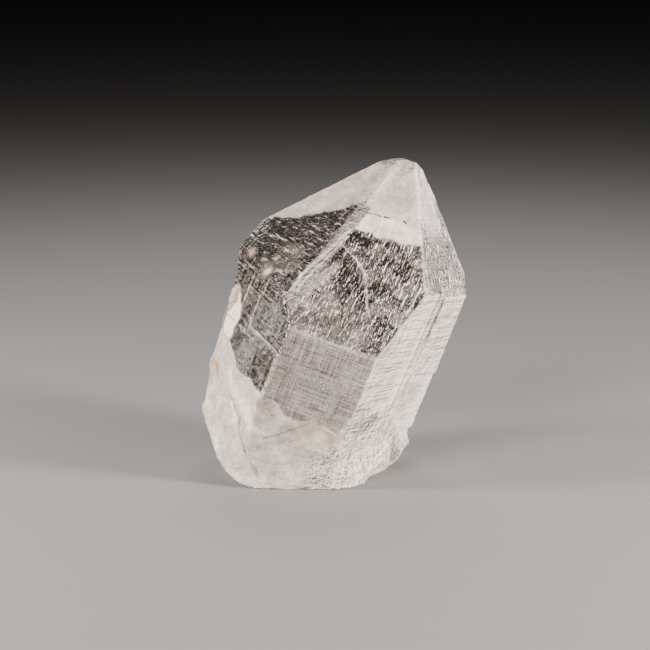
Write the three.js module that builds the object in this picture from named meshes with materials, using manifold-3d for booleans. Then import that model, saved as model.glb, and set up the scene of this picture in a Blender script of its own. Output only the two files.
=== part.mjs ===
// A natural Himalayan quartz crystal: one prism of six sides that ends in a worn point,
// leaning on the broken foot where it came off its rock. Millimetres, +Z up, front towards -Y.
//
// The crystal is cut in its own growth frame first: the long axis is +Z, the ideal point is at
// the origin, the broad front face looks towards -Y. Then it is tipped as it stands, cut flat
// where it rests, and set down on Z = 0.

import * as THREE from 'three';
import { ConvexGeometry } from 'three/addons/geometries/ConvexGeometry.js';
import { mergeVertices } from 'three/addons/utils/BufferGeometryUtils.js';
import Module from 'manifold-3d';

const wasm = await Module();
wasm.setup();

const DEGREE = Math.PI / 180;

// How the crystal stands
const LEAN_RIGHT = 20.59 * DEGREE;
const LEAN_FORWARD = 4.34 * DEGREE;
const TURN_ON_AXIS = 1.23 * DEGREE;
const POINT_TO_TABLE = 48.3;

// Quartz's own angle: a point face leans this far from the long axis, measured at its normal
const POINT_FACE_ANGLE = 51.79 * DEGREE;

// Prism faces: turn about the long axis from the front, to the right, distance from the axis, and
// how far the point face above each one lies outside the ideal point
const FRONT = { turn: 0, distance: 21.3, lift: 0 };
const RIGHT_FRONT = { turn: 60, distance: 14.2, lift: -0.15 };
const RIGHT_BACK = { turn: 120, distance: 12.2, lift: -0.3 };
const BACK = { turn: 180, distance: 9.4, lift: 0.1 };
const LEFT_BACK = { turn: 240, distance: 15.4, lift: 0.35 };
const LEFT_FRONT = { turn: 300, distance: 19.1, lift: 0.15 };
const PRISM_FACES = [FRONT, RIGHT_FRONT, RIGHT_BACK, BACK, LEFT_BACK, LEFT_FRONT];

const ROUGH_BLOCK = 140;

// A small generator of repeatable random numbers from 0 to 1
let seed = 20261;
function random() {
  seed = (seed * 16807) % 2147483647;
  return seed / 2147483647;
}
const between = (low, high) => low + (high - low) * random();

function toSolid(geometry) {
  const bare = geometry.clone();
  bare.deleteAttribute('normal');
  bare.deleteAttribute('uv');
  const merged = mergeVertices(bare, 1e-5);
  return new wasm.Manifold(new wasm.Mesh({
    numProp: 3,
    vertProperties: new Float32Array(merged.attributes.position.array),
    triVerts: new Uint32Array(merged.index.array),
  }));
}

function toGeometry(solid) {
  const mesh = solid.getMesh();
  const geometry = new THREE.BufferGeometry();
  geometry.setAttribute('position', new THREE.BufferAttribute(mesh.vertProperties, 3));
  geometry.setIndex(new THREE.BufferAttribute(mesh.triVerts, 1));
  return geometry;
}

function outwardOf(face) {
  const angle = face.turn * DEGREE;
  return new THREE.Vector3(Math.sin(angle), -Math.cos(angle), 0);
}

// Everything on the far side of the plane through a point, as a block to cut away
function beyond(point, outward, size = ROUGH_BLOCK) {
  const block = new THREE.BoxGeometry(size, size, size);
  block.translate(0, 0, size / 2);
  const turn = new THREE.Quaternion().setFromUnitVectors(new THREE.Vector3(0, 0, 1), outward);
  block.applyQuaternion(turn);
  block.translate(point.x, point.y, point.z);
  return toSolid(block);
}

// The six prism faces, and six point faces that meet at the ideal point
function idealCrystal() {
  const block = new THREE.BoxGeometry(ROUGH_BLOCK, ROUGH_BLOCK, ROUGH_BLOCK / 2);
  block.translate(0, 0, -ROUGH_BLOCK / 4);
  let crystal = toSolid(block);
  const axis = new THREE.Vector3(0, 0, 1);
  for (const face of PRISM_FACES) {
    const outward = outwardOf(face);
    crystal = crystal.subtract(beyond(outward.clone().multiplyScalar(face.distance), outward));
    const pointFace = outward.clone().applyAxisAngle(
      new THREE.Vector3().crossVectors(outward, axis), Math.PI / 2 - POINT_FACE_ANGLE);
    pointFace.normalize();
    crystal = crystal.subtract(beyond(pointFace.clone().multiplyScalar(face.lift), pointFace));
  }
  return crystal;
}

// A growth step: a slab taken off one prism face. Across runs to the right as the face is seen,
// from the foot of the axis on it, and heights run along the axis. Depth is at the low end, and
// taper is the angle at which it grows towards the point. Askew turns the slab a little.
function growthStep(face, { from, to, low, high, depth, taper = 0, askew = 0 }) {
  const thick = 6;
  const slab = new THREE.BoxGeometry(to - from, thick, high - low);
  slab.translate(0, -thick / 2, (high - low) / 2);
  slab.rotateX(-taper * DEGREE);
  slab.translate(0, 0, (low - high) / 2);
  slab.rotateY(askew * DEGREE);
  slab.translate((from + to) / 2, depth - face.distance, (low + high) / 2);
  slab.rotateZ(face.turn * DEGREE);
  return toSolid(slab);
}

// A shell-shaped break: a shallow bite by a large ball, depth deep where it faces outward
function shellBreak({ at, facing, radius, depth, detail = 13 }) {
  const ball = new THREE.IcosahedronGeometry(radius, detail);
  const outward = new THREE.Vector3(...facing).normalize();
  const centre = new THREE.Vector3(...at).addScaledVector(outward, radius - depth);
  ball.rotateX(at[0] + at[2]);
  ball.translate(centre.x, centre.y, centre.z);
  return toSolid(ball);
}

// The point on the prism's skin in a direction about the axis, at a height
function onSkin(turn, height) {
  let reach = Infinity;
  for (const face of PRISM_FACES) {
    const facing = Math.cos((turn - face.turn) * DEGREE);
    if (facing > 0.05) reach = Math.min(reach, face.distance / facing);
  }
  return [reach * Math.sin(turn * DEGREE), -reach * Math.cos(turn * DEGREE), height];
}

// Steps where the prism faces grew in layers, and the narrow bevel beside the broad point face
function growthSteps() {
  return [
    growthStep(RIGHT_FRONT, { from: -20, to: -2.5, low: -60, high: 0, depth: 0.5, askew: 3.9 }),
    growthStep(RIGHT_FRONT, { from: -2.1, to: 20, low: -40.5, high: -31.6, depth: 0.3, askew: 3.5 }),
    growthStep(RIGHT_FRONT, { from: -20, to: -11.5, low: -60, high: -36.5, depth: 0.8, askew: -8 }),
    growthStep(LEFT_FRONT, { from: 4.1, to: 20, low: -31.2, high: 0, depth: 0.3, askew: 0.4 }),
    growthStep(LEFT_FRONT, { from: -20, to: 4.1, low: -32.2, high: 0, depth: 0.18, taper: 2.2, askew: -0.6 }),
    growthStep(LEFT_FRONT, { from: -20, to: 0.9, low: -31, high: 0, depth: 0.26, taper: 4.4, askew: 0.8 }),
    growthStep(LEFT_FRONT, { from: -20, to: -1.6, low: -28, high: 0, depth: 0.45, taper: 6.5, askew: 4 }),
    growthStep(FRONT, { from: -20, to: 20, low: -33.3, high: -10, depth: 0.1, askew: -1 }),
    growthStep(RIGHT_BACK, { from: -20, to: 20, low: -30, high: 0, depth: 0, taper: 0.9, askew: 4 }),
    growthStep(RIGHT_BACK, { from: -1.5, to: 20, low: -35, high: 0, depth: 0, taper: 1.1, askew: 7 }),
    growthStep(BACK, { from: -20, to: 20, low: -31, high: 0, depth: 0.12, taper: 0.4, askew: 3 }),
    growthStep(BACK, { from: -20, to: 1.5, low: -29, high: 0, depth: 0.05, taper: 2.2, askew: -8 }),
    growthStep(LEFT_BACK, { from: -20, to: 20, low: -27, high: 0, depth: 0.1, taper: 0.7, askew: -4 }),
    growthStep(LEFT_BACK, { from: -20, to: 5.5, low: -33, high: 0, depth: 0, taper: 1.6, askew: 7 }),
  ];
}

function edgeBevel() {
  const bevelInset = 0.32;
  const bevelTop = -9.5;
  const front = new THREE.Vector3(0, -Math.sin(POINT_FACE_ANGLE), Math.cos(POINT_FACE_ANGLE));
  const left = front.clone().applyAxisAngle(new THREE.Vector3(0, 0, 1), -60 * DEGREE);
  const outward = front.clone().add(left).normalize();
  const bevel = beyond(outward.clone().multiplyScalar(-bevelInset), outward);
  return bevel.subtract(beyond(new THREE.Vector3(0, 0, bevelTop), new THREE.Vector3(0, 0, 1)));
}

// The tip is worn blunt, with a few small flakes gone
function wornTip(crystal) {
  const flats = [
    { at: [-2.0, 0, -3.1], facing: [-0.45, 0.1, 0.88] },
    { at: [1.0, 0, -2.4], facing: [0.5, 0.1, 0.86] },
    { at: [-0.4, 0, -2.5], facing: [-0.05, 0.15, 1] },
  ];
  let worn = crystal;
  for (const { at, facing } of flats) {
    worn = worn.subtract(beyond(new THREE.Vector3(...at), new THREE.Vector3(...facing).normalize()));
  }
  const flakes = [
    { at: [-0.9, -1.9, -3.0], facing: [-0.2, -0.8, 0.75], radius: 6, depth: 0.3, detail: 3 },
    { at: [-4.4, -1.0, -4.4], facing: [-0.5, -0.6, 0.7], radius: 9, depth: 0.3, detail: 4 },
    { at: [2.6, -1.0, -4.0], facing: [0.75, -0.4, 0.6], radius: 7, depth: 0.2, detail: 4 },
    { at: [0.6, 2.2, -3.6], facing: [0.1, 0.9, 0.55], radius: 8, depth: 0.4, detail: 4 },
  ];
  for (const flake of flakes) worn = worn.subtract(shellBreak(flake));
  return worn;
}

// The foot, broken off the rock: large shell-shaped breaks, each given where it is deepest
function footBreaks() {
  return [
    { at: [-9.6, -21.2, -44.2], facing: [-0.6, -0.78, -0.15], radius: 44, depth: 1.5 },
    { at: [-14.2, -13.2, -44], facing: [-0.95, -0.3, -0.06], radius: 34, depth: 1.0 },
    { at: [-1.5, -21.2, -46.4], facing: [0.03, -0.99, -0.12], radius: 38, depth: 1.5 },
    { at: [4.1, -21.3, -41.5], facing: [0.5, -0.86, -0.08], radius: 30, depth: 1.15 },
    { at: [-19.3, -4.2, -38], facing: [-0.98, -0.2, -0.03], radius: 40, depth: 1.5 },
    { at: [-18.2, -3, -46], facing: [-0.9, 0.1, -0.3], radius: 22, depth: 1.6 },
    { at: [-9, 9, -41], facing: [-0.55, 0.8, -0.25], radius: 30, depth: 3.0 },
    { at: [5, 9.2, -39], facing: [0.25, 0.93, -0.3], radius: 26, depth: 2.4 },
    { at: [10, 7.4, -40], facing: [0.6, 0.75, -0.25], radius: 20, depth: 1.3 },
  ];
}

// Small chips over the broken foot and up the bruised left edge. Inset is how far inside the ideal
// prism the broken skin lies there, less than nothing where the foot spreads past it.
function footChips() {
  const regions = [
    { count: 26, turns: [-75, 12], heights: [-50, -41], radii: [9, 18], depths: [0.2, 0.45], inset: 1.1 },
    { count: 24, turns: [-110, -70], heights: [-48, -30], radii: [9, 20], depths: [0.15, 0.45], inset: 1.0 },
    { count: 14, turns: [35, 85], heights: [-44.5, -41.5], radii: [5, 12], depths: [0.2, 0.5], inset: -2.7 },
    { count: 46, turns: [110, 250], heights: [-50, -35], radii: [10, 26], depths: [0.25, 0.8], inset: 1.2 },
  ];
  const chips = [];
  for (const { count, turns, heights, radii, depths, inset } of regions) {
    for (let i = 0; i < count; i += 1) {
      const turn = between(...turns);
      const at = onSkin(turn, between(...heights));
      const facing = [Math.sin(turn * DEGREE), -Math.cos(turn * DEGREE), between(-0.5, 0.1)];
      at[0] -= facing[0] * inset;
      at[1] -= facing[1] * inset;
      chips.push({ at, facing, radius: between(...radii), depth: between(...depths), detail: 3 });
    }
  }
  return chips;
}

// From the growth frame to how the crystal stands
function standingTurn() {
  const axis = new THREE.Vector3(
    Math.sin(LEAN_RIGHT) * Math.cos(LEAN_FORWARD),
    -Math.sin(LEAN_FORWARD),
    Math.cos(LEAN_RIGHT) * Math.cos(LEAN_FORWARD));
  const away = new THREE.Vector3(0, 1, 0).addScaledVector(axis, -axis.y).normalize();
  const right = new THREE.Vector3().crossVectors(away, axis);
  const stand = new THREE.Matrix4().makeBasis(right, away, axis);
  return stand.multiply(new THREE.Matrix4().makeRotationZ(TURN_ON_AXIS));
}

// The foot spreads to the lower right, past the prism, where smaller crystals were broken off.
// Its corners are given as it stands, from the ideal point; the last five lie inside.
function footSpread(stand) {
  const corners = [
    [-0.7, 1.2, -43.2],
    [-0.6, -0.6, -45.4],
    [-3.2, -3.7, -42.6],
    [-7.0, -8.8, -43.8],
    [-4.2, -7.9, -47.9],
    [-4.9, -8.8, -49.5],
    [-9.0, -13.8, -49.5],
    [-10.4, -16.3, -49.5],
    [-11.2, -16.9, -45.6],
    [-13.4, -16.4, -45.8],
    [-13.0, -16.3, -49.5],
    [-14, -6, -41],
    [-14, -6, -49.5],
    [-7, 2.5, -47.5],
  ];
  const spread = new ConvexGeometry(corners.map((corner) => new THREE.Vector3(...corner)));
  spread.applyMatrix4(stand.clone().invert());
  return toSolid(spread);
}

// Breaks under the crystal, given as it stands, from the ideal point: a point and a facing
function undersideBreaks() {
  return [
    { at: [-25.2, -12, -48.3], facing: [-0.42, -0.15, -0.9] },
    { at: [-27.8, -12, -46.6], facing: [-0.72, -0.1, -0.66] },
    { at: [-30.1, -8, -43.6], facing: [-0.93, -0.05, -0.36] },
    { at: [-17, -16.4, -48.3], facing: [-0.1, -0.75, -0.66] },
    { at: [-4.6, -6, -48.4], facing: [0.68, -0.08, -0.73] },
    { at: [-1.2, 3, -45.6], facing: [0.62, 0.3, -0.72] },
    { at: [-13, 3.5, -48.3], facing: [0.05, 0.72, -0.7] },
    { at: [-24, 0, -48.3], facing: [-0.55, 0.5, -0.67] },
  ];
}

// The small notch under the last growth layer on the right
function rightNotch(stand) {
  const block = new THREE.BoxGeometry(12, 11, 2.6);
  block.rotateZ(-20 * DEGREE);
  block.translate(5.3, 0.6, -43.4);
  const axis = new THREE.Vector3(0, 0, 1).transformDirection(stand);
  const ledge = axis.clone().multiplyScalar(-40.5);
  return toSolid(block).subtract(beyond(ledge, axis));
}

function standUp(crystal, stand) {
  const geometry = toGeometry(crystal);
  geometry.applyMatrix4(stand);
  let standing = toSolid(geometry);
  for (const { at, facing } of undersideBreaks()) {
    const outward = new THREE.Vector3(...facing).normalize();
    standing = standing.subtract(beyond(new THREE.Vector3(...at), outward));
  }
  standing = standing.subtract(rightNotch(stand));
  const table = new THREE.Vector3(0, 0, -POINT_TO_TABLE);
  return standing.subtract(beyond(table, new THREE.Vector3(0, 0, -1)));
}

const stand = standingTurn();
let crystal = idealCrystal();
for (const step of growthSteps()) crystal = crystal.subtract(step);
crystal = crystal.subtract(edgeBevel());
crystal = wornTip(crystal);
crystal = crystal.add(footSpread(stand));
for (const shell of footBreaks()) crystal = crystal.subtract(shellBreak(shell));
for (const chip of footChips()) crystal = crystal.subtract(shellBreak(chip));

const geometry = toGeometry(standUp(crystal, stand));
geometry.computeBoundingBox();
const { min, max } = geometry.boundingBox;

const quartz = new THREE.Mesh(geometry, new THREE.MeshStandardMaterial({
  color: 0xcfc6c0,
  roughness: 0.15,
  metalness: 0,
}));
quartz.name = 'quartz_crystal';
quartz.position.set(-(min.x + max.x) / 2, -(min.y + max.y) / 2, POINT_TO_TABLE);

const part = new THREE.Group();
part.add(quartz);

export default part;
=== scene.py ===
# The looks of a natural quartz crystal: the growth relief of its faces, its rough broken foot, its
# clear quartz and milky film, with light and shade painted on the film in places, and the studio
# that it stands in, its floor painted dark where the crystal shows it. Metres, +Z up, front to -Y.
import math

import bmesh
import bpy
import numpy as np
from mathutils import Matrix, Vector, noise
from mathutils.bvhtree import BVHTree


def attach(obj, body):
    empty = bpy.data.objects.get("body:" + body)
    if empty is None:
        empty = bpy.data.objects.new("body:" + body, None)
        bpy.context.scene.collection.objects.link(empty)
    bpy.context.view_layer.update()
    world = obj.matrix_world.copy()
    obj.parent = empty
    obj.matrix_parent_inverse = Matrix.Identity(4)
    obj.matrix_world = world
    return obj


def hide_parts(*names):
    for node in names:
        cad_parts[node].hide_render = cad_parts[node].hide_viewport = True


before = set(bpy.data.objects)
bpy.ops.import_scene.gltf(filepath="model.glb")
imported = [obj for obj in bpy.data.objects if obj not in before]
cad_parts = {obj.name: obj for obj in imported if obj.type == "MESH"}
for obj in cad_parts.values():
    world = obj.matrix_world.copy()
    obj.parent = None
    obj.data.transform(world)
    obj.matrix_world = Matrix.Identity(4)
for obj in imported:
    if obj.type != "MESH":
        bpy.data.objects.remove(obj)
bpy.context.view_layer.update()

MM = 0.001

# How the crystal stands, the ideal point that its point faces aim at, and for each of its six sides,
# in millimetres, how far the prism face lies from the axis and the point face beyond that point
LEAN_RIGHT = math.radians(20.59)
LEAN_FORWARD = math.radians(4.34)
TURN_ON_AXIS = math.radians(1.23)
IDEAL_POINT = Vector((12.141, 3.665, 48.3)) * MM
POINT_FACE_ANGLE = math.radians(51.79)
PRISM_DISTANCE = [21.3, 14.2, 12.2, 9.4, 15.4, 19.1]
POINT_LIFT = [0.0, -0.15, -0.3, 0.1, 0.35, 0.15]

# The camera: a long lens a little above the crystal
CAMERA_LENS = 110.0
CAMERA_RISE = math.radians(12)
CAMERA_DISTANCE = 296.4 * MM
CAMERA_AIM = Vector((-1.319, 0.655, 21.78)) * MM
CAMERA_NEAR = 0.01
CAMERA_FAR = 10

# The fine skin: its spacing, the faces' numbers, and where each prism face breaks off at the foot,
# in millimetres from the ideal point
SKIN_SPACING = 0.28 * MM
WELD_DISTANCE = 0.0001 * MM
FRONT, RIGHT_FRONT, RIGHT_BACK, BACK, LEFT_BACK, LEFT_FRONT = range(6)
FOOT_LINE = [-39.5, -44.0, -36.0, -34.0, -35.0, -37.5]

# What counts as a growth face: how far it may be turned, in degrees, and how far its normal may
# rise; and how far above the foot line, in millimetres, worn edges still count as broken
TURN_SLACK = 9
PRISM_RISE_SLACK = 0.13
POINT_RISE_SLACK = 0.08
BROKEN_ABOVE_LINE = 3

# Relief noise swings half a unit each way, and this makes it one millimetre each way
SWING_TO_HEIGHT = 2.0

# How wide the worn edges are, whose whitening is partly real wear and partly a painted highlight
# along the ridges, and how far the patches' outlines wander, in millimetres, and how soft a patch's
# rim is, as a share of its half size
EDGE_WEAR_AND_HIGHLIGHT_WIDTH = 0.12
PATCH_WANDER_WAVES = 0.9
PATCH_WANDER = 0.7
PATCH_WANDER_SEED = 7
PATCH_RIM = 0.12

# How milky, speckled, terraced, lined, crossed, rough and creamy the skin is; speckled, terraced and
# rough also set how strongly the painted light and shade on small bumps, steps and crags shows.
# First a level for each of the six faces, by kind; then leaning ovals on one face, in millimetres
# across it and along it from the ideal point: kind, face, middle, half sizes, lean to the right in
# degrees, level, and how soft the rim is where that isn't PATCH_RIM.
FINISH = {
    "haze": ({
        "point": [0.0, 0.08, 0.10, 0.08, 0.10, 0.0],
        "prism": [0.22, 0.54, 0.14, 0.06, 0.10, 0.01],
        "worn": [0.35, 0.45, 0.35, 0.22, 0.26, 0.20],
        "broken": [0.60, 0.54, 0.36, 0.30, 0.50, 0.56],
    }, [
        ("point", FRONT, (0.0, -4.0), (9, 12.2), 0, 0.52),
        ("point", FRONT, (0.3, -8.5), (2.4, 3.4), 0, 0.42),
        ("point", FRONT, (-1.0, -14.5), (6.5, 1.6), 0, 0.66),
        ("point", FRONT, (-6.0, -32.0), (4.0, 3.6), -8, 0.07),
        ("point", FRONT, (-0.6, -31.8), (2.2, 4.0), 10, 0.05),
        ("point", FRONT, (-8.2, -27.0), (0.9, 5.5), 28, 0.18),
        ("point", LEFT_FRONT, (-5.2, -14.1), (5, 15), 48, 0.50),
        ("point", LEFT_FRONT, (3.2, -26.0), (3.6, 3.0), 40, 0.07),
        ("point", RIGHT_FRONT, (-1.0, -6.5), (3.6, 7.5), 0, 0.42, 0.7),
        ("prism", LEFT_FRONT, (-2.2, -34.5), (3.0, 6.0), 6, 0.95),
        ("prism", LEFT_FRONT, (-3.4, -30.0), (1.6, 2.4), 10, 0.35),
        ("prism", FRONT, (3.6, -41.2), (4.2, 1.6), 16, 0.62),
        ("prism", RIGHT_FRONT, (-5.0, -32.0), (2.2, 3.6), 0, 0.72, 0.6),
        ("prism", RIGHT_FRONT, (0.5, -34.5), (3.4, 2.6), 0, 0.34, 0.6),
        ("prism", RIGHT_FRONT, (-9.5, -37.6), (2.0, 1.2), 0, 0.26, 0.5),
        ("prism", RIGHT_FRONT, (-12.5, -38.6), (2.2, 1.6), 0, 0.30, 0.5),
        ("broken", LEFT_FRONT, (-5.5, -42.5), (3.0, 3.4), 0, 0.42),
    ]),
    "speckle": ({
        "point": [0.76, 0.68, 0.25, 0.2, 0.2, 0.0],
        "prism": [0.06, 0.10, 0.1, 0.1, 0.1, 0.2],
        "worn": [0.2] * 6,
        "broken": [0.0, 0.35, 0.1, 0.0, 0.0, 0.0],
    }, [
        ("point", FRONT, (0.0, -4.0), (9, 12.2), 0, 0.03),
        ("point", FRONT, (-1.0, -14.5), (6.5, 1.6), 0, 0.2),
        ("point", RIGHT_FRONT, (-1.0, -6.5), (3.6, 7.5), 0, 0.15, 0.7),
        ("point", RIGHT_FRONT, (-0.8, -19.5), (2.2, 4.5), 0, 0.95, 0.6),
    ]),
    "terraced": ({
        "point": [0.0, 0.0, 0.2, 0.2, 0.2, 0.75],
        "prism": [0.0, 0.2, 0.1, 0.1, 0.1, 0.35],
    }, [
        ("point", LEFT_FRONT, (-5.2, -14.1), (5, 15), 48, 0.08),
        ("prism", LEFT_FRONT, (-3.0, -34.0), (4.0, 8.0), 6, 0.15),
    ]),
    "lined": ({
        "point": [0.1, 0.25, 0.3, 0.3, 0.3, 0.15],
        "prism": [0.54, 1.25, 0.6, 0.5, 0.6, 0.4],
        "broken": [0.0, 0.35, 0.0, 0.0, 0.0, 0.0],
    }, []),
    "crossed": ({
        "prism": [0.38, 0.16, 0.1, 0.1, 0.1, 0.3],
    }, []),
    "rough": ({
        "point": [0.05, 0.15, 0.2, 0.2, 0.1, 0.1],
        "prism": [0.05, 0.5, 0.3, 0.2, 0.3, 0.2],
        "worn": [0.4] * 6,
        "broken": [0.22, 0.9, 0.8, 0.7, 0.6, 0.25],
    }, [
        ("prism", RIGHT_FRONT, (-5.5, -42.0), (14, 5.0), 0, 1.0, 0.6),
        ("broken", FRONT, (4.2, -46.5), (3.8, 5.0), 14, 1.1, 0.6),
        ("broken", FRONT, (-5.0, -43.0), (6.0, 6.0), 0, 0.15, 0.6),
    ]),
    "cream": ({
        "point": [0.1, 0.1, 0.1, 0.1, 0.1, 0.15],
        "prism": [0.05, 0.25, 0.2, 0.1, 0.3, 0.15],
        "broken": [0.35, 0.3, 0.4, 0.4, 0.8, 0.55],
    }, [
        ("prism", LEFT_FRONT, (-2.2, -34.5), (3.0, 6.0), 6, 0.95),
        ("prism", LEFT_FRONT, (-4.0, -29.5), (2.0, 3.0), 10, 0.8),
    ]),
}

# Stains and a warm glow inside the foot: growth place, radius, level
IRON_SPOTS = [
    ((-16.4, -6.7, -40.5), 1.1, 1.3),
    ((-16.6, -6.5, -39.2), 0.45, 0.5),
    ((-17.4, -5.5, -22.4), 0.6, 0.9),
    ((-15.0, -9.9, -22.7), 0.9, 0.25),
    ((-9.0, 6.5, -39.0), 1.0, 0.5),
]
WARM_SPOTS = [
    ((0.2, -20.8, -40.7), 1.7, 1.0),
    ((-1.5, -21.3, -38.9), 1.0, 0.4),
    ((-14.6, -11.2, -22.9), 0.7, 0.8),
]

# Hairlines on the skin: start, end, half width, how much paler (or, below zero, how much clearer);
# some are painted highlights and painted shade, marked below
HAIRLINES = [
    ((-4.4, -8.1, -10.3), (-2.4, -8.1, -10.25), 0.09, -0.9),
    ((-2.4, -8.1, -10.25), (-0.8, -7.9, -10.0), 0.11, -0.9),
    ((-0.8, -7.9, -10.0), (0.9, -7.8, -9.9), 0.05, -0.5),
    ((1.65, -7.7, -9.75), (1.95, -7.7, -9.9), 0.14, -0.9),
    ((-5.4, -10.7, -13.6), (-2.7, -10.7, -13.6), 0.28, -0.85),
    ((-6.2, -11.9, -15.2), (-3.3, -12.9, -16.3), 0.12, 0.35),
    ((-3.3, -12.9, -16.3), (-1.5, -14.0, -17.8), 0.20, 0.38),
    ((-1.5, -14.0, -17.8), (-0.7, -15.3, -19.4), 0.22, 0.34),
    ((-0.7, -15.3, -19.4), (0.2, -16.8, -21.4), 0.16, 0.30),
    ((0.2, -16.8, -21.4), (1.1, -17.9, -22.7), 0.12, 0.26),
    ((-8.5, -21.4, -33.2), (-3.6, -21.4, -33.4), 0.09, 0.4),
    ((-3.6, -21.4, -33.4), (3.3, -21.4, -33.6), 0.06, 0.25),
    ((-7.0, -21.4, -34.9), (-7.0, -21.4, -37.1), 0.09, 0.5),
    ((-6.2, -21.4, -34.6), (-6.2, -21.4, -36.2), 0.06, 0.35),
    ((-8.2, -21.4, -38.3), (-7.0, -21.4, -38.5), 0.11, -0.6),
    ((-6.2, -21.4, -38.6), (-5.0, -21.4, -38.7), 0.10, -0.6),
    ((3.7, -21.1, -31.5), (6.6, -16.0, -31.8), 0.10, -0.7),
    ((-16.1, -8.8, -24.6), (-16.2, -9.3, -29.2), 0.12, 0.55),
    ((-14.5, -12.3, -24.5), (-14.5, -12.7, -30.6), 0.11, 0.55),
    ((-14.5, -12.7, -31.0), (-10.0, -20.2, -31.1), 0.08, 0.5),
    ((-14.5, -12.7, -31.6), (-10.0, -20.2, -31.8), 0.06, 0.35),
    # Painted highlight: a pale band along the ridge between the front and left front point faces.
    ((-5.6, -10.3, -13.4), (-10.3, -15.4, -20.8), 0.28, 0.45),
    ((-10.3, -15.4, -20.8), (-11.2, -18.1, -24.6), 0.30, 0.6),
    ((-5.5, -11.0, -14.0), (-9.9, -16.6, -21.7), 0.13, 0.5),
    ((-9.9, -16.6, -21.7), (-10.1, -20.1, -26.3), 0.16, 0.4),
    # Painted shade: a clearer, darker line along a ridge of the broken foot.
    ((-13.4, -12.6, -42.0), (-10.9, -15.7, -44.2), 0.34, -0.35),
    ((-10.9, -15.7, -44.2), (-8.9, -18.3, -47.4), 0.36, -0.5),
    ((-8.9, -18.3, -47.4), (-5.9, -18.8, -50.2), 0.30, -0.45),
    # Painted light: a wide pale band on the foot beside that ridge.
    ((-14.4, -11.3, -39.6), (-9.4, -19.3, -43.3), 0.9, 0.34),
    ((-7.1, -19.7, -44.2), (-4.1, -20.7, -41.4), 0.16, -0.4),
    ((-4.1, -20.7, -41.4), (-1.5, -21.3, -38.9), 0.18, -0.4),
    ((7.4, -13.7, -17.3), (4.7, -19.2, -25.9), 0.15, -0.8),
    # Painted shade and painted highlight of a step on the right front prism face: a clearer, darker
    # crease, then a pale ridge beside it.
    ((10.4, -9.3, -17.5), (9.7, -10.5, -35.5), 0.38, -0.4),
    ((9.7, -10.5, -35.5), (9.4, -11.2, -39.9), 0.45, -0.4),
    ((9.9, -10.0, -17.5), (9.2, -11.3, -35.5), 0.20, 0.35),
]

# Noise on a face: waves per millimetre across it and along it, detail, roughness
RELIEF_RUNGS = (0.10, 2.1, 3.0, 0.55)
RELIEF_RAILS = (1.7, 0.06, 2.0, 0.55)
RELIEF_HILLOCKS = (1.25, 0.40, 3.5, 0.6)
RELIEF_STREAKS = (1.5, 0.22, 3.0, 0.55)
FINE_LINES = (0.25, 4.5, 3.0, 0.6)
FINE_HILLOCKS = (2.8, 0.6, 3.0, 0.6)
MILKY_RUNGS = (0.16, 5.0, 3.0, 0.6)
MILKY_RAILS = (4.2, 0.12, 3.0, 0.6)

# Painted light and shade on the sides of bumps on a face, as if lit from the upper left: waves
# across and along, detail, and the steepness where they begin to show and where they are full; then
# the step that a side is measured over, which sets where the painted light comes from
LONG_FLECK_HIGHLIGHTS = (2.3, 0.42, 4.0, 0.07, 0.12)
SHORT_FLECK_HIGHLIGHTS = (6.0, 1.0, 2.0, 0.09, 0.15)
BROAD_TERRACE_HIGHLIGHTS = (0.32, 1.1, 4.0, 0.06, 0.13)
FINE_TERRACE_HIGHLIGHTS = (2.4, 3.2, 2.0, 0.10, 0.18)
CRAG_LIGHT_AND_SHADE = (1.3, 1.7, 4.0, -0.10, 0.10)
LIT_SIDE_STEP = (0.22, -0.16, 0.0)
SLOPE_ROUGHNESS = 0.6

# Noise through the whole stone: waves per millimetre, detail, roughness
RELIEF_SWELL = (0.32, 3.0, 0.5)
RELIEF_CRAGS = (0.9, 4.0, 0.6)
FINE_RIDGES = (1.3, 3.0, 0.6)
FINE_PITS = (4.0, 3.0, 0.65)
GLOSS_MOTTLE = (0.28, 4.0, 0.6)
MILKY_MOTTLE = (0.55, 5.0, 0.62)
MILKY_GRAIN = (5.5, 2.0, 0.6)
MILKY_CLOUD = (0.33, 3.0, 0.5)
EDGE_WEAR_AND_HIGHLIGHT = (1.6, 3.0, 0.6)
LINE_FADING = (0.9, 3.0, 0.6)
PINHOLE_REGIONS = (1.1, 1.0, 0.5)
RUST = (2.4, 4.0, 0.7)
TINT = (0.35, 4.0, 0.6)

# How such a noise is used: the band of it that counts, and the levels at the band's two ends
MOTTLE_LEVELS = (0.30, 0.70, 0.68, 1.22)
GRAIN_LEVELS = (0.32, 0.68, 0.82, 1.18)
FLECK_LEVELS = (0.38, 0.62, 0.60, 1.15)
VEIL_LEVELS = (0.50, 0.68, 0.0, 0.16)
EDGE_WEAR_AND_HIGHLIGHT_LEVELS = (0.38, 0.62, 0.15, 0.75)
FADING_LEVELS = (0.38, 0.58, 0.35, 1.0)
RUST_LEVELS = (0.42, 0.52, 0.0, 1.0)
TINT_LEVELS = (0.32, 0.55, 0.0, 1.0)

# How far apart the six faces lie in the noise, for the relief, the fine detail and the bloom
RELIEF_APART = 7.3
DETAIL_APART = 5.1
BLOOM_APART = 3.7

# Shares: rails against rungs in the relief, ridges cut into the pits, and each pattern in the bloom
RAILS_SHARE = 0.6
RIDGES_IN_PITS = -3.0
TERRACE_HIGHLIGHTS_SHARE = 0.5
CRAG_LIGHT_AND_SHADE_SHARE = 0.8
GROWTH_LINES_SHARE = 1.5
MOST_COVER = 0.96

# Hairlines: where the line ends and its fading edge ends, in half widths, and how they wander
LINE_CORE = 0.6
LINE_EDGE = 1.5
LINE_WANDER_WAVES = 1.3
LINE_WANDER = 0.55

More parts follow.
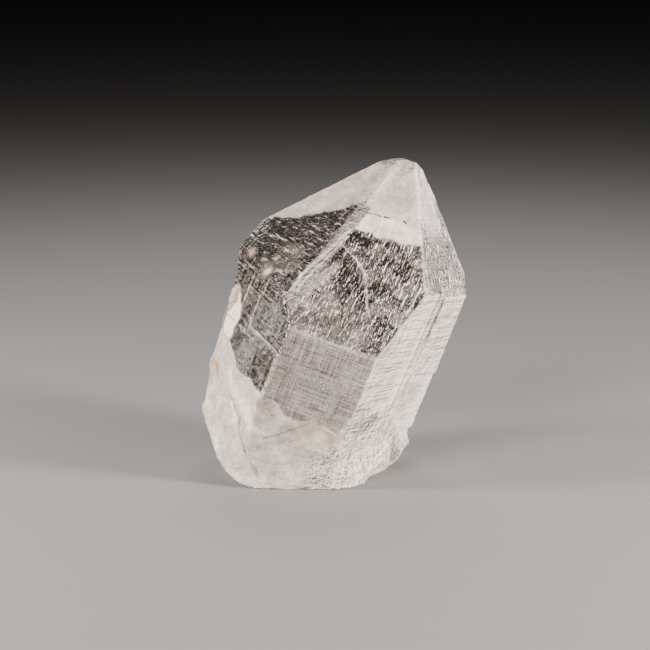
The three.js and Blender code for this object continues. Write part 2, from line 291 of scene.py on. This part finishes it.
# Pinholes: how many in a millimetre, the level of the region noise above which they lie, and their
# core, their rim and how clear they are at both
PINHOLES_PER_MM = 1.3
PINHOLE_REGION_LEVEL = 0.54
PINHOLE_LEVELS = (0.10, 0.22, 0.75, 0.0)

# Colours and glass
PALE_QUARTZ = (0.95, 0.76, 0.67, 1)
SHADED_QUARTZ = (0.74, 0.54, 0.47, 1)
CREAM = (0.97, 0.79, 0.60, 1)
IRON = (0.44, 0.12, 0.008, 1)
WARM_GLOW = (1.0, 0.84, 0.48, 1)
WARM_CLEAR = (0.98, 0.93, 0.89, 1)
DULL_CLEAR = (0.66, 0.60, 0.56, 1)
ABSORBED = (0.92, 0.89, 0.86, 1)
ABSORPTION_DENSITY = 0.6
QUARTZ_IOR = 1.544
BUMP_HEIGHT = 0.1 * MM
FILM_LIFT = 0.02 * MM
BLOOM_SEEN_FROM_INSIDE = 0.12

# Each finish: its share of the fine detail, the gloss mottle's band, roughness at the two ends of
# that band, and the bump's strength
CLEAR_FINISH = ({"Lines": 0.25, "Hillocks": 1.6, "Pits": 0.1}, (0.4, 0.7), (0.0, 0.07), 0.9)
BROKEN_FINISH = ({"Lines": 0.5, "Hillocks": 0.5, "Pits": 0.9}, (0.4, 0.7), (0.2, 0.4), 0.9)
BLOOM_FINISH = ({"Lines": 1.1, "Hillocks": 1.0, "Pits": 1.2}, (0.35, 0.7), (0.12, 0.36), 0.8)

# The studio. Softboxes: name, place, size in metres, watts, and whether the crystal mirrors it.
FLOOR_SIZE = 3
FLOOR_ROUGHNESS = 0.9
FLOOR_PALE = (0.22, 0.21, 0.20, 1)
# Painted shade: the floor's colour where the crystal shows it, near black, so that its clear parts
# look dark.
FLOOR_SHADE_THROUGH_GLASS = (0.012, 0.011, 0.010, 1)
WORLD_COLOUR = (0.01, 0.01, 0.01, 1)
SOFTBOXES = [
    ("key", (-0.17, -0.25, 0.20), (0.12, 0.12), 1.2, True),
    ("right", (0.23, -0.11, 0.075), (0.05, 0.13), 2.6, False),
    ("left", (-0.22, -0.05, 0.09), (0.05, 0.14), 1.2, True),
    ("back_left", (0.02, 0.18, 0.26), (0.10, 0.10), 0.4, True),
    ("back_right", (0.215, 0.14, 0.06), (0.04, 0.08), 0.05, True),
]


def growth_frame():
    """The turn from the crystal's growth frame, with its long axis up, to how it stands."""
    axis = Vector((
        math.sin(LEAN_RIGHT) * math.cos(LEAN_FORWARD),
        -math.sin(LEAN_FORWARD),
        math.cos(LEAN_RIGHT) * math.cos(LEAN_FORWARD),
    ))
    away = (Vector((0, 1, 0)) - axis * axis.y).normalized()
    right = away.cross(axis)
    stand = Matrix((right, away, axis)).transposed()
    return stand @ Matrix.Rotation(TURN_ON_AXIS, 3, "Z")


STAND = growth_frame()


def to_growth(places):
    """Standing places in metres, as rows, to growth places in millimetres."""
    return (places - np.array(IDEAL_POINT)) / MM @ np.array(STAND)


def link(obj):
    bpy.context.scene.collection.objects.link(obj)
    return obj


def plain_mesh(obj, name):
    """The object with its modifiers applied, as a new plain mesh object in its place."""
    bpy.context.view_layer.update()
    graph = bpy.context.evaluated_depsgraph_get()
    mesh = bpy.data.meshes.new_from_object(obj.evaluated_get(graph))
    done = bpy.data.objects.new(name, mesh)
    bpy.data.objects.remove(obj)
    mesh.name = name
    return link(done)


def keep(mesh, name, values):
    """Stores one number for each vertex, for the relief and the materials to read."""
    made = mesh.attributes.new(name, "FLOAT", "POINT")
    made.data.foreach_set("value", np.asarray(values, dtype=np.float32))


# Nodes

class Tree:
    """Adds nodes to a shader tree or a geometry tree."""

    def __init__(self, tree):
        self.tree = tree

    def node(self, kind, inputs=None, **settings):
        made = self.tree.nodes.new(kind)
        for key, value in settings.items():
            setattr(made, key, value)
        for key, value in (inputs or {}).items():
            self.feed(made.inputs[key], value)
        return made

    def feed(self, socket, value):
        if isinstance(value, bpy.types.NodeSocket):
            self.tree.links.new(value, socket)
        else:
            socket.default_value = value

    def math(self, operation, *values, clamp=False):
        made = self.node("ShaderNodeMath", operation=operation, use_clamp=clamp)
        for socket, value in zip(made.inputs, values):
            self.feed(socket, value)
        return made.outputs[0]

    def times(self, value, *others):
        for other in others:
            value = self.math("MULTIPLY", value, other)
        return value

    def plus(self, value, *others):
        for other in others:
            value = self.math("ADD", value, other)
        return value

    def ramp(self, value, low, high, to_low=0.0, to_high=1.0):
        made = self.node("ShaderNodeMapRange", {
            "Value": value, "From Min": low, "From Max": high,
            "To Min": to_low, "To Max": to_high,
        })
        return made.outputs["Result"]

    def noise(self, vector, scale, detail, roughness):
        made = self.node("ShaderNodeTexNoise", {
            "Vector": vector, "Scale": scale, "Detail": detail, "Roughness": roughness,
        })
        return made.outputs[0]

    def swing(self, vector, scale, detail, roughness):
        """Noise about zero."""
        return self.math("SUBTRACT", self.noise(vector, scale, detail, roughness), 0.5)

    def vector(self, operation, first, second):
        made = self.node("ShaderNodeVectorMath", operation=operation)
        self.feed(made.inputs[0], first)
        self.feed(made.inputs[1], second)
        return made.outputs["Value" if operation == "DOT_PRODUCT" else "Vector"]

    def scaled(self, vector, factor):
        made = self.node("ShaderNodeVectorMath", operation="SCALE")
        self.feed(made.inputs[0], vector)
        self.feed(made.inputs["Scale"], factor)
        return made.outputs["Vector"]

    def combine(self, x, y, z):
        return self.node("ShaderNodeCombineXYZ", {"X": x, "Y": y, "Z": z}).outputs[0]

    def mix(self, amount, low, high):
        made = self.node("ShaderNodeMix", {"Factor": amount}, data_type="RGBA")
        self.feed(made.inputs[6], low)
        self.feed(made.inputs[7], high)
        return made.outputs[2]

    def measure(self, name, output="Fac"):
        """One of the measures kept on the skin, in a shader tree."""
        return self.node("ShaderNodeAttribute", attribute_name=name).outputs[output]


class FaceNoise:
    """Noise stretched across and along a face, and cut elsewhere for each of the six."""

    def __init__(self, t, across, along, face, apart):
        self.t = t
        self.across = across
        self.along = along
        self.cut = t.times(face, apart)

    def place(self, per_across, per_along):
        t = self.t
        return t.combine(t.times(self.across, per_across), t.times(self.along, per_along), self.cut)

    def noise(self, pattern):
        per_across, per_along, detail, roughness = pattern
        return self.t.noise(self.place(per_across, per_along), 1.0, detail, roughness)

    def swing(self, pattern):
        """The same noise about zero."""
        return self.t.math("SUBTRACT", self.noise(pattern), 0.5)

    def painted_lit_slopes(self, pattern):
        """Painted light and shade: one on the sides of small noise bumps that face up and left, as
        if they were lit from there, and zero on the sides away from it.
        """
        t = self.t
        per_across, per_along, detail, low, high = pattern
        spot = self.place(per_across, per_along)
        beside = t.vector("ADD", spot, LIT_SIDE_STEP)
        here = t.noise(spot, 1.0, detail, SLOPE_ROUGHNESS)
        there = t.noise(beside, 1.0, detail, SLOPE_ROUGHNESS)
        return t.ramp(t.math("SUBTRACT", here, there), low, high)


def group_sockets(tree, inputs, outputs):
    for name, (kind, default) in inputs.items():
        socket = tree.interface.new_socket(name, in_out="INPUT", socket_type=kind)
        if default is not None:
            socket.default_value = default
    for name, kind in outputs.items():
        tree.interface.new_socket(name, in_out="OUTPUT", socket_type=kind)


# The crystal's skin

def face_of(normal, place):
    """Which growth face a spot belongs to: (kind, number), by its facing in the growth frame."""
    turn = math.degrees(math.atan2(normal.x, -normal.y)) % 360
    number = round(turn / 60) % 6
    off = abs((turn - number * 60 + 180) % 360 - 180)
    if off < TURN_SLACK and abs(normal.z) < PRISM_RISE_SLACK:
        return ("prism" if place.z > FOOT_LINE[number] else "broken"), number
    if off < TURN_SLACK and abs(normal.z - math.cos(POINT_FACE_ANGLE)) < POINT_RISE_SLACK:
        return "point", number
    return ("worn" if place.z > FOOT_LINE[number] + BROKEN_ABOVE_LINE else "broken"), number


def even_skin():
    """The crystal of the frame with small, even faces, and its true shape to fit them to."""
    rough = bmesh.new()
    rough.from_mesh(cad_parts["quartz_crystal"].data)
    bmesh.ops.remove_doubles(rough, verts=rough.verts, dist=WELD_DISTANCE)
    true_shape = BVHTree.FromBMesh(rough)
    mesh = bpy.data.meshes.new("skin")
    rough.to_mesh(mesh)
    rough.free()
    skin = link(bpy.data.objects.new("skin", mesh))
    even = skin.modifiers.new("even", "REMESH")
    even.mode = "VOXEL"
    even.voxel_size = SKIN_SPACING
    return plain_mesh(skin, "crystal_skin"), true_shape


def crystal_skin():
    """The crystal with a fine skin, and the measures that its relief and its looks follow."""
    skin, true_shape = even_skin()
    mesh = skin.data
    count = len(mesh.vertices)
    kinds = {kind: np.zeros(count) for kind in ("prism", "point", "worn", "broken")}
    numbers = np.zeros(count)
    back_turn = STAND.transposed()
    for i, vertex in enumerate(mesh.vertices):
        near, normal, _, _ = true_shape.find_nearest(vertex.co)
        vertex.co = near
        place = back_turn @ (near - IDEAL_POINT) / MM
        kind, number = face_of(back_turn @ normal, place)
        kinds[kind][i] = 1
        numbers[i] = number
    mesh.update()

    places = np.zeros(count * 3)
    mesh.vertices.foreach_get("co", places)
    growth = to_growth(places.reshape(-1, 3))
    turns = np.radians(numbers * 60)
    across = growth[:, 0] * np.cos(turns) + growth[:, 1] * np.sin(turns)
    along = growth[:, 2] / np.where(kinds["point"] > 0, math.sin(POINT_FACE_ANGLE), 1.0)
    keep(mesh, "across", across)
    keep(mesh, "along", along)
    keep(mesh, "face", numbers)
    for kind, mask in kinds.items():
        keep(mesh, kind, mask)
    keep(mesh, "front_point", kinds["point"] * (numbers == FRONT))
    # The worn edges: the film whitens them, partly as real wear and partly as a painted highlight
    # along the ridges.
    keep(mesh, "edge", np.exp(-edge_distance(growth) / EDGE_WEAR_AND_HIGHLIGHT_WIDTH) * (1 - kinds["broken"]))
    keep(mesh, "iron", spots(growth, IRON_SPOTS))
    keep(mesh, "warm", spots(growth, WARM_SPOTS))
    keep_finish(mesh, growth, across, along, kinds, numbers)
    grown = mesh.attributes.new("growth", "FLOAT_VECTOR", "POINT")
    grown.data.foreach_set("vector", growth.ravel())
    return skin


def keep_finish(mesh, growth, across, along, kinds, numbers):
    """How milky, flecked, terraced, lined, crossed, rough and creamy each spot is, and so how
    strongly the film's painted light and shade shows on its bumps, steps and crags.
    """
    noise.seed_set(PATCH_WANDER_SEED)
    wander = np.array([noise.noise_vector(Vector(place) * PATCH_WANDER_WAVES) for place in growth])
    across = across + wander[:, 0] * PATCH_WANDER
    along = along + wander[:, 1] * PATCH_WANDER
    for measure, (everywhere, patches) in FINISH.items():
        amount = np.zeros(len(growth))
        for kind, levels in everywhere.items():
            amount += kinds[kind] * np.array(levels)[numbers.astype(int)]
        for kind, number, middle, half, lean, level, *rim in patches:
            inside = patch(across, along, middle, half, lean, *rim)
            inside = inside * kinds[kind] * (numbers == number)
            amount = amount * (1 - inside) + level * inside
        keep(mesh, measure, amount)


def edge_distance(growth):
    """How far each spot lies inside its second nearest growth plane: small along the edges."""
    insides = []
    for number in range(6):
        turn = math.radians(60 * number)
        outward = np.array((math.sin(turn), -math.cos(turn), 0.0))
        insides.append(PRISM_DISTANCE[number] - growth @ outward)
        slant = outward * math.sin(POINT_FACE_ANGLE)
        slant[2] = math.cos(POINT_FACE_ANGLE)
        insides.append(POINT_LIFT[number] - growth @ slant)
    return np.sort(np.abs(insides), axis=0)[1]


def spots(growth, places):
    """Round spots that fade outwards, the strongest one where they meet."""
    amount = np.zeros(len(growth))
    for place, radius, level in places:
        away = np.linalg.norm(growth - np.array(place), axis=1) / radius
        amount = np.maximum(amount, level * np.exp(-away * away))
    return np.minimum(amount, 1.0)


def patch(across, along, middle, half, lean, rim=PATCH_RIM):
    """One inside a leaning oval on a face, and zero outside its soft rim."""
    turn = math.radians(lean)
    right = across - middle[0]
    up = along - middle[1]
    wide = (right * math.cos(turn) - up * math.sin(turn)) / half[0]
    high = (right * math.sin(turn) + up * math.cos(turn)) / half[1]
    inside = np.clip((1 + rim / 2 - np.hypot(wide, high)) / rim, 0, 1)
    return inside * inside * (3 - 2 * inside)


def relief_tree(clear, broken):
    """Lifts the skin by the growth lines of the prism faces, the hillocks of the point faces and
    the roughness of the breaks, and gives the breaks a material of their own."""
    tree = bpy.data.node_groups.new("growth_relief", "GeometryNodeTree")
    group_sockets(tree, {
        "Geometry": ("NodeSocketGeometry", None),
        "Growth Lines": ("NodeSocketFloat", 0.10),
        "Front Hillocks": ("NodeSocketFloat", 0.24),
        "Point Streaks": ("NodeSocketFloat", 0.12),
        "Breaks": ("NodeSocketFloat", 0.36),
    }, {"Geometry": "NodeSocketGeometry"})
    t = Tree(tree)
    given = t.node("NodeGroupInput").outputs

    def named(name, kind="FLOAT"):
        return t.node("GeometryNodeInputNamedAttribute", {"Name": name}, data_type=kind).outputs[0]

    face_noise = FaceNoise(t, named("across"), named("along"), named("face"), RELIEF_APART)
    rungs = t.times(face_noise.swing(RELIEF_RUNGS), given["Growth Lines"])
    rails = t.times(face_noise.swing(RELIEF_RAILS), given["Growth Lines"], RAILS_SHARE)
    hillocks = t.times(face_noise.swing(RELIEF_HILLOCKS), given["Front Hillocks"])
    streaks = t.times(face_noise.swing(RELIEF_STREAKS), given["Point Streaks"])
    growth = named("growth", "FLOAT_VECTOR")
    crags = t.times(t.swing(growth, *RELIEF_CRAGS), named("rough"))
    breaks = t.times(t.plus(t.swing(growth, *RELIEF_SWELL), crags), given["Breaks"])
    height = t.plus(
        t.times(named("prism"), t.plus(rungs, rails)),
        t.times(named("front_point"), hillocks),
        t.times(named("point"), streaks),
        t.times(named("broken"), breaks),
    )
    normal = t.node("GeometryNodeInputNormal").outputs[0]
    offset = t.scaled(normal, t.times(height, SWING_TO_HEIGHT, MM))
    raised = t.node("GeometryNodeSetPosition", {"Geometry": given["Geometry"], "Offset": offset})
    whole = t.node("GeometryNodeRealizeInstances", {"Geometry": raised.outputs[0]})
    polished = t.node("GeometryNodeSetMaterial", {"Geometry": whole.outputs[0], "Material": clear})
    dressed = t.node("GeometryNodeSetMaterial", {
        "Geometry": polished.outputs[0],
        "Selection": t.math("GREATER_THAN", named("broken"), 0.5),
        "Material": broken,
    })
    t.node("NodeGroupOutput", {"Geometry": dressed.outputs[0]})
    return tree


def with_relief(skin, clear, broken):
    """The finished crystal, its underside kept on the floor."""
    relief = skin.modifiers.new("relief", "NODES")
    relief.node_group = relief_tree(clear, broken)
    crystal = plain_mesh(skin, "crystal")
    for vertex in crystal.data.vertices:
        vertex.co.z = max(vertex.co.z, 0.0)
    crystal.data.shade_smooth()
    return crystal


def bloom_film(crystal, material):
    """The milky bloom and frosting of the skin, with its painted light and shade, as a film that
    follows it.
    """
    film = crystal.copy()
    film.data = crystal.data.copy()
    film.name = film.data.name = "quartz_bloom_and_painted_light"
    link(film)
    mesh = film.data
    count = len(mesh.vertices)
    places = np.zeros(count * 3)
    normals = np.zeros(count * 3)
    mesh.vertices.foreach_get("co", places)
    mesh.vertices.foreach_get("normal", normals)
    mesh.vertices.foreach_set("co", places + normals * FILM_LIFT)
    mesh.materials.clear()
    mesh.materials.append(material)
    trimmed = bmesh.new()
    trimmed.from_mesh(mesh)
    for face in trimmed.faces:
        face.material_index = 0
    resting = [v for v in trimmed.verts if v.co.z < FILM_LIFT]
    bmesh.ops.delete(trimmed, geom=resting, context="VERTS")
    trimmed.to_mesh(mesh)
    trimmed.free()
    return film


# Materials

def growth_detail_group():
    """Growth lines, hillocks and pits that are too small for the mesh, as a height, and a slow
    mottle for the gloss."""
    group = bpy.data.node_groups.new("growth_detail", "ShaderNodeTree")
    group_sockets(group, {
        "Lines": ("NodeSocketFloat", 0.5),
        "Hillocks": ("NodeSocketFloat", 0.5),
        "Pits": ("NodeSocketFloat", 0.5),
    }, {"Height": "NodeSocketFloat", "Mottle": "NodeSocketFloat"})
    t = Tree(group)
    given = t.node("NodeGroupInput").outputs
    face_noise = FaceNoise(
        t, t.measure("across"), t.measure("along"), t.measure("face"), DETAIL_APART)
    lines = t.times(face_noise.noise(FINE_LINES), t.measure("lined"), given["Lines"])
    hills = t.math("ABSOLUTE", face_noise.swing(FINE_HILLOCKS))
    hills = t.times(hills, t.measure("speckle"), given["Hillocks"])
    growth = t.measure("growth", "Vector")
    ridges = t.math("ABSOLUTE", t.swing(growth, *FINE_RIDGES))
    pits = t.plus(t.noise(growth, *FINE_PITS), t.times(ridges, RIDGES_IN_PITS))
    pits = t.times(pits, t.measure("rough"), given["Pits"])
    t.node("NodeGroupOutput", {
        "Height": t.plus(lines, hills, pits),
        "Mottle": t.noise(growth, *GLOSS_MOTTLE),
    })
    return group


def hairline_group():
    """One in a thin line between two places, fading over its edge."""
    group = bpy.data.node_groups.new("hairline", "ShaderNodeTree")
    group_sockets(group, {
        "Place": ("NodeSocketVector", None),
        "Start": ("NodeSocketVector", None),
        "End": ("NodeSocketVector", None),
        "Half Width": ("NodeSocketFloat", 0.1),
    }, {"Mask": "NodeSocketFloat"})
    t = Tree(group)
    given = t.node("NodeGroupInput").outputs
    run = t.vector("SUBTRACT", given["End"], given["Start"])
    reach = t.vector("SUBTRACT", given["Place"], given["Start"])
    reach_on_run = t.vector("DOT_PRODUCT", reach, run)
    share = t.math("DIVIDE", reach_on_run, t.vector("DOT_PRODUCT", run, run), clamp=True)
    nearest = t.vector("ADD", given["Start"], t.scaled(run, share))
    away = t.vector("SUBTRACT", given["Place"], nearest)
    distance = t.math("SQRT", t.vector("DOT_PRODUCT", away, away))
    core = t.times(given["Half Width"], LINE_CORE)
    edge = t.times(given["Half Width"], LINE_EDGE)
    t.node("NodeGroupOutput", {"Mask": t.ramp(distance, core, edge, 1.0, 0.0)})
    return group


def add_hairlines(t, growth, cover):
    """The cover with every hairline drawn on it, paler or clearer than what is around it."""
    hairline = hairline_group()
    wander = t.node("ShaderNodeTexNoise", {
        "Vector": growth, "Scale": LINE_WANDER_WAVES, "Detail": 2.0}).outputs["Color"]
    wander = t.vector("SUBTRACT", wander, (0.5, 0.5, 0.5))
    place = t.vector("ADD", growth, t.scaled(wander, LINE_WANDER))
    fading = t.ramp(t.noise(growth, *LINE_FADING), *FADING_LEVELS)
    for start, end, half_width, paler in HAIRLINES:
        line = t.node("ShaderNodeGroup", {
            "Place": place, "Start": start, "End": end, "Half Width": half_width,
        }, node_tree=hairline).outputs["Mask"]
        if paler > 0:
            cover = t.plus(cover, t.times(line, fading, paler))
        else:
            cover = t.times(cover, t.math("MULTIPLY_ADD", line, paler, 1.0))
    return cover


def bloom_group():
    """Where the faces are milky, lined, cracked and stained, with painted light and shade on the
    sides of small bumps, steps and crags, painted highlights along the worn edges, and painted light
    and shade along some hairlines: how much of the clear skin the bloom covers, and its colour."""
    group = bpy.data.node_groups.new("quartz_bloom_and_painted_light", "ShaderNodeTree")
    group_sockets(group, {
        "Density": ("NodeSocketFloat", 1.0),
    }, {"Cover": "NodeSocketFloat", "Colour": "NodeSocketColor"})
    t = Tree(group)
    given = t.node("NodeGroupInput").outputs
    growth = t.measure("growth", "Vector")
    face_noise = FaceNoise(
        t, t.measure("across"), t.measure("along"), t.measure("face"), BLOOM_APART)

    mottle = t.ramp(t.noise(growth, *MILKY_MOTTLE), *MOTTLE_LEVELS)
    grain = t.ramp(t.noise(growth, *MILKY_GRAIN), *GRAIN_LEVELS)
    haze = t.times(t.measure("haze"), mottle, grain)

    cloud = t.noise(growth, *MILKY_CLOUD)
    # Painted light: each fleck is whiter on the sides of small bumps that face up and left, as if
    # lit from there; over it lies a real milky veil.
    fleck_highlights_and_veil = t.plus(face_noise.painted_lit_slopes(LONG_FLECK_HIGHLIGHTS), face_noise.painted_lit_slopes(SHORT_FLECK_HIGHLIGHTS))
    fleck_highlights_and_veil = t.times(fleck_highlights_and_veil, t.ramp(cloud, *FLECK_LEVELS))
    fleck_highlights_and_veil = t.plus(fleck_highlights_and_veil, t.ramp(cloud, *VEIL_LEVELS))
    fleck_highlights_and_veil = t.times(fleck_highlights_and_veil, t.measure("speckle"))

    # Painted light: the sides of the terraced steps that face up and left are whiter, as if lit from
    # there.
    terrace_highlights = t.plus(face_noise.painted_lit_slopes(BROAD_TERRACE_HIGHLIGHTS), face_noise.painted_lit_slopes(FINE_TERRACE_HIGHLIGHTS))
    terrace_highlights = t.times(terrace_highlights, t.measure("terraced"), TERRACE_HIGHLIGHTS_SHARE)
    # Painted light and shade on the crags: sides facing up and left whiter, the others clearer and
    # so darker.
    crags = t.math("SUBTRACT", face_noise.painted_lit_slopes(CRAG_LIGHT_AND_SHADE), 0.5)
    crags = t.times(crags, t.measure("rough"), CRAG_LIGHT_AND_SHADE_SHARE)
    rungs = t.times(face_noise.swing(MILKY_RUNGS), t.measure("lined"))
    rails = t.times(face_noise.swing(MILKY_RAILS), t.measure("crossed"))
    growth_lines = t.times(t.plus(rungs, rails), GROWTH_LINES_SHARE)
    # Painted highlight along the ridges, partly real wear: the film is whiter at the worn edges.
    worn = t.ramp(t.noise(growth, *EDGE_WEAR_AND_HIGHLIGHT), *EDGE_WEAR_AND_HIGHLIGHT_LEVELS)
    worn = t.times(worn, t.measure("edge"))
    cover = t.plus(haze, fleck_highlights_and_veil, terrace_highlights, crags, growth_lines, worn)
    cover = add_hairlines(t, growth, cover)

    cells = t.node("ShaderNodeTexVoronoi", {
        "Vector": growth, "Scale": PINHOLES_PER_MM, "Randomness": 1.0}).outputs["Distance"]
    regions = t.math("GREATER_THAN", t.noise(growth, *PINHOLE_REGIONS), PINHOLE_REGION_LEVEL)
    holes = t.ramp(cells, *PINHOLE_LEVELS)
    cover = t.times(cover, t.math("SUBTRACT", 1.0, t.times(holes, regions)))

    rust = t.times(t.measure("iron"), t.ramp(t.noise(growth, *RUST), *RUST_LEVELS))
    stains = t.math("MAXIMUM", rust, t.measure("warm"))
    cover = t.times(t.math("MAXIMUM", cover, stains), given["Density"])
    cover = t.math("MINIMUM", t.math("MAXIMUM", cover, 0.0), MOST_COVER)

    paler = t.ramp(t.noise(growth, *TINT), *TINT_LEVELS)
    colour = t.mix(paler, SHADED_QUARTZ, PALE_QUARTZ)
    colour = t.mix(t.measure("cream"), colour, CREAM)
    colour = t.mix(rust, colour, IRON)
    colour = t.mix(t.measure("warm"), colour, WARM_GLOW)
    t.node("NodeGroupOutput", {"Cover": cover, "Colour": colour})
    return group


def finished_material(name, detail, finish):
    """A material with its share of the fine detail, and its roughness and bump from it."""
    shares, band, roughness, bump_strength = finish
    material = bpy.data.materials.new(name)
    material.use_nodes = True
    t = Tree(material.node_tree)
    shader = material.node_tree.nodes["Principled BSDF"]
    fine = t.node("ShaderNodeGroup", shares, node_tree=detail).outputs
    t.feed(shader.inputs["Roughness"], t.ramp(fine["Mottle"], *band, *roughness))
    bump = t.node("ShaderNodeBump", {
        "Strength": bump_strength, "Distance": BUMP_HEIGHT, "Height": fine["Height"]})
    t.feed(shader.inputs["Normal"], bump.outputs[0])
    return material, t, shader


def clear_material(name, colour, detail, finish):
    """Clear quartz that takes a little of the light that passes through it."""
    material, t, shader = finished_material(name, detail, finish)
    shader.inputs["Base Color"].default_value = colour
    shader.inputs["IOR"].default_value = QUARTZ_IOR
    shader.inputs["Transmission Weight"].default_value = 1.0
    absorbed = t.node("ShaderNodeVolumeAbsorption", {
        "Color": ABSORBED, "Density": ABSORPTION_DENSITY})
    output = material.node_tree.nodes["Material Output"]
    t.feed(output.inputs["Volume"], absorbed.outputs[0])
    return material


def bloom_material(detail):
    """The film's white, thinner where it is seen from inside the crystal."""
    material, t, shader = finished_material("quartz_bloom_and_painted_light", detail, BLOOM_FINISH)
    pattern = t.node("ShaderNodeGroup", {"Density": 1.0}, node_tree=bloom_group()).outputs
    t.feed(shader.inputs["Base Color"], pattern["Colour"])
    from_inside = t.node("ShaderNodeNewGeometry").outputs["Backfacing"]
    seen = t.ramp(from_inside, 0.0, 1.0, 1.0, BLOOM_SEEN_FROM_INSIDE)
    t.feed(shader.inputs["Alpha"], t.times(pattern["Cover"], seen))
    return material


# The studio

def softbox(name, place, size, watts, mirrored):
    data = bpy.data.lights.new(name, "AREA")
    data.shape = "RECTANGLE"
    data.size, data.size_y = size
    data.energy = watts
    lamp = link(bpy.data.objects.new(name, data))
    lamp.visible_glossy = mirrored
    lamp.visible_transmission = mirrored
    lamp.location = place
    lamp.rotation_mode = "QUATERNION"
    lamp.rotation_quaternion = (CAMERA_AIM - Vector(place)).to_track_quat("-Z", "Y")


def studio():
    """A pale floor with painted shade, near black where the crystal shows it, soft boxes and a dim
    world.
    """
    bpy.ops.mesh.primitive_plane_add(size=FLOOR_SIZE)
    floor = bpy.context.object
    floor.name = "floor"
    material = bpy.data.materials.new("floor")
    material.use_nodes = True
    shader = material.node_tree.nodes["Principled BSDF"]
    shader.inputs["Roughness"].default_value = FLOOR_ROUGHNESS
    shader.inputs["Specular IOR Level"].default_value = 0.0
    t = Tree(material.node_tree)
    # Painted shade: transmission rays see the floor near black.
    through_glass = t.node("ShaderNodeLightPath").outputs["Is Transmission Ray"]
    t.feed(shader.inputs["Base Color"], t.mix(through_glass, FLOOR_PALE, FLOOR_SHADE_THROUGH_GLASS))
    floor.data.materials.append(material)
    for name, place, size, watts, mirrored in SOFTBOXES:
        softbox(name, place, size, watts, mirrored)
    world = bpy.data.worlds.new("studio")
    world.use_nodes = True
    world.node_tree.nodes["Background"].inputs["Color"].default_value = WORLD_COLOUR
    bpy.context.scene.world = world


def camera():
    data = bpy.data.cameras.new("camera")
    data.lens = CAMERA_LENS
    cam = link(bpy.data.objects.new("camera", data))
    back = Vector((0, -math.cos(CAMERA_RISE), math.sin(CAMERA_RISE)))
    cam.location = CAMERA_AIM + back * CAMERA_DISTANCE
    cam.rotation_mode = "QUATERNION"
    cam.rotation_quaternion = (-back).to_track_quat("-Z", "Y")
    data.clip_start = CAMERA_NEAR
    data.clip_end = CAMERA_FAR
    bpy.context.scene.camera = cam


camera()
studio()
fine_detail = growth_detail_group()
clear = clear_material("clear_quartz", WARM_CLEAR, fine_detail, CLEAR_FINISH)
broken = clear_material("broken_quartz", DULL_CLEAR, fine_detail, BROKEN_FINISH)
crystal = with_relief(crystal_skin(), clear, broken)
film = bloom_film(crystal, bloom_material(fine_detail))
for piece in (crystal, film):
    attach(piece, "root")
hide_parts("quartz_crystal")
